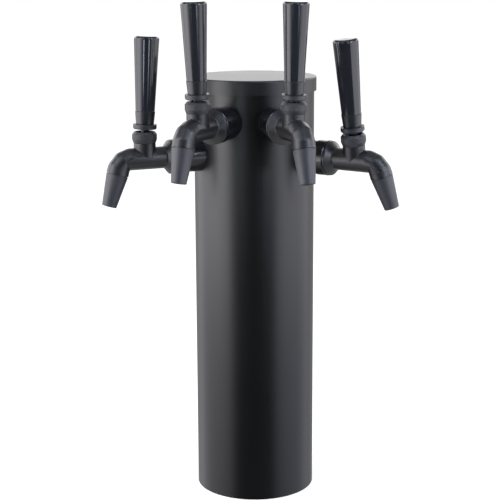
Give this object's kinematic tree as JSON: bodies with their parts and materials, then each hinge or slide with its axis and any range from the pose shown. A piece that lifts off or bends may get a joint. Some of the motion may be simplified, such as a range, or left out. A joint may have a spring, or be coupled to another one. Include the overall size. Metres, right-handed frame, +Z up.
{
  "type": "beer tower dispenser",
  "caption": "Round black column for draught beer with lever taps fanned across its front, the outer ones lower than the inner, and a lift-off cap.",
  "frame": {"origin": "centre of the foot, on the column's axis, in the plane that stands on the bar top", "axes": "+Z up along the column, -Y to the front where the taps are, +X to the right of someone who faces the taps"},
  "size_m": [0.3021, 0.224, 0.5303],
  "materials": {
    "column_paint": "satin",
    "tap_black": "matte",
    "bonnet_black": "matte",
    "collar_black": "gloss",
    "ferrule_black": "satin",
    "handle_gloss": "gloss",
    "lever_steel": "satin",
    "shank_steel": "satin",
    "hidden_steel": "matte",
    "fitting_plastic": "satin",
    "seat_plastic": "satin",
    "seal_rubber": "matte",
    "foam": "matte"
  },
  "bodies": {
    "tower": {"column": "column_paint", "base_ring": "hidden_steel", "insulation_sleeve": "foam", "shank_collars": "collar_black", "coupling_washers": "seal_rubber", "shank_washers": "hidden_steel", "shank_locknuts": "shank_steel", "line_elbows": "fitting_plastic", "ball_seats": "seat_plastic", "friction_washers": "seat_plastic", "spout_gaskets": "seal_rubber", "tap_body_outer_left": "tap_black", "spout_outer_left": "tap_black", "bonnet_outer_left": "bonnet_black", "coupling_nut_outer_left": "collar_black", "shank_outer_left": "shank_steel", "tap_body_inner_left": "tap_black", "spout_inner_left": "tap_black", "bonnet_inner_left": "bonnet_black", "coupling_nut_inner_left": "collar_black", "shank_inner_left": "shank_steel", "tap_body_inner_right": "tap_black", "spout_inner_right": "tap_black", "bonnet_inner_right": "bonnet_black", "coupling_nut_inner_right": "collar_black", "shank_inner_right": "shank_steel", "tap_body_outer_right": "tap_black", "spout_outer_right": "tap_black", "bonnet_outer_right": "bonnet_black", "coupling_nut_outer_right": "collar_black", "shank_outer_right": "shank_steel"},
    "cap": {"cap": "column_paint", "cap_ring": "hidden_steel", "cap_seal": "seal_rubber"},
    "lever_outer_left": {"lever_outer_left": "lever_steel", "lever_nut_outer_left": "bonnet_black", "ferrule_outer_left": "ferrule_black", "handle_outer_left": "handle_gloss"},
    "shuttle_outer_left": {"shuttle_outer_left": "lever_steel", "shuttle_seal_outer_left": "seal_rubber"},
    "lever_inner_left": {"lever_inner_left": "lever_steel", "lever_nut_inner_left": "bonnet_black", "ferrule_inner_left": "ferrule_black", "handle_inner_left": "handle_gloss"},
    "shuttle_inner_left": {"shuttle_inner_left": "lever_steel", "shuttle_seal_inner_left": "seal_rubber"},
    "lever_inner_right": {"lever_inner_right": "lever_steel", "lever_nut_inner_right": "bonnet_black", "ferrule_inner_right": "ferrule_black", "handle_inner_right": "handle_gloss"},
    "shuttle_inner_right": {"shuttle_inner_right": "lever_steel", "shuttle_seal_inner_right": "seal_rubber"},
    "lever_outer_right": {"lever_outer_right": "lever_steel", "lever_nut_outer_right": "bonnet_black", "ferrule_outer_right": "ferrule_black", "handle_outer_right": "handle_gloss"},
    "shuttle_outer_right": {"shuttle_outer_right": "lever_steel", "shuttle_seal_outer_right": "seal_rubber"}
  },
  "joints": [
    {"name": "cap_lift", "type": "slide", "parent": "tower", "child": "cap", "axis": [0, 0, 1], "range_m": [0, 0.06]},
    {"name": "pull_outer_left", "type": "hinge", "parent": "tower", "child": "lever_outer_left", "pos_m": [-0.10771, -0.05897, 0.3874], "axis": [0.4802, -0.8771, 0], "range_deg": [-3.5, 26.5]},
    {"name": "slide_outer_left", "type": "slide", "parent": "tower", "child": "shuttle_outer_left", "axis": [0.8771, 0.4802, 0], "range_m": [-0.00114, 0.00857]},
    {"name": "pull_inner_left", "type": "hinge", "parent": "tower", "child": "lever_inner_left", "pos_m": [-0.0456, -0.11402, 0.424], "axis": [0.9285, -0.3714, 0], "range_deg": [-9.2, 20.8]},
    {"name": "slide_inner_left", "type": "slide", "parent": "tower", "child": "shuttle_inner_left", "axis": [0.3714, 0.9285, 0], "range_m": [-0.00298, 0.00673]},
    {"name": "pull_inner_right", "type": "hinge", "parent": "tower", "child": "lever_inner_right", "pos_m": [0.04778, -0.11312, 0.424], "axis": [0.9212, 0.3891, 0], "range_deg": [-9.6, 20.4]},
    {"name": "slide_inner_right", "type": "slide", "parent": "tower", "child": "shuttle_inner_right", "axis": [-0.3891, 0.9212, 0], "range_m": [-0.00311, 0.0066]},
    {"name": "pull_outer_right", "type": "hinge", "parent": "tower", "child": "lever_outer_right", "pos_m": [0.10577, -0.06245, 0.3872], "axis": [0.4841, 0.8627, 0.1461], "range_deg": [-4.9, 25.1]},
    {"name": "slide_outer_right", "type": "slide", "parent": "tower", "child": "shuttle_outer_right", "axis": [-0.8721, 0.4894, 0], "range_m": [-0.00159, 0.00811]}
  ],
  "couplings": [
    {"joint": "slide_outer_left", "follows": "pull_outer_left", "m_per_rad": 0.0185},
    {"joint": "slide_inner_left", "follows": "pull_inner_left", "m_per_rad": 0.0185},
    {"joint": "slide_inner_right", "follows": "pull_inner_right", "m_per_rad": 0.0185},
    {"joint": "slide_outer_right", "follows": "pull_outer_right", "m_per_rad": 0.0185}
  ]
}
